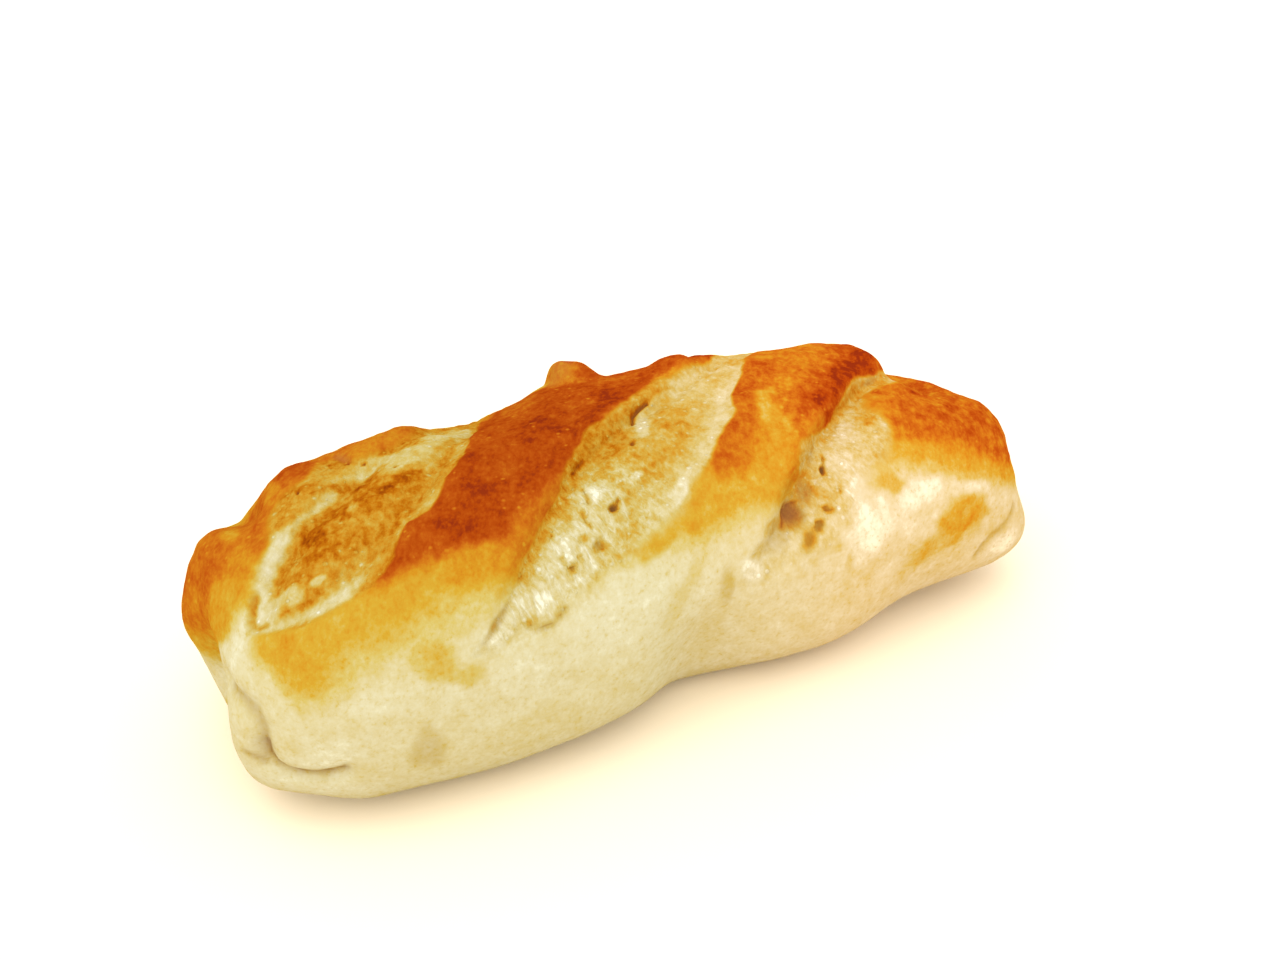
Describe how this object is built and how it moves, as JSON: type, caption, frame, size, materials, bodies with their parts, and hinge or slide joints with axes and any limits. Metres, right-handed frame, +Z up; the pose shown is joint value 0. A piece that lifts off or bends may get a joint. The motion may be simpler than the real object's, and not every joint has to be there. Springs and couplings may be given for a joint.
{
  "type": "mini baguette",
  "caption": "Small crusty hand-shaped baguette with slanting scores on top, browned crests, a pale flank and a flat base to rest on.",
  "frame": {"origin": "middle of the loaf's box, on the surface that it lies on", "axes": "+X along the loaf towards its right end as seen from the shown flank, +Y away from the viewer, +Z up; the shown flank faces -Y"},
  "size_m": [0.1604, 0.0724, 0.0467],
  "materials": {
    "crust": "baked bread crust: red-brown on the crests, golden lower down, cream on the flank, with a low sheen"
  },
  "bodies": {
    "root": {"baguette": "crust"}
  },
  "joints": []
}
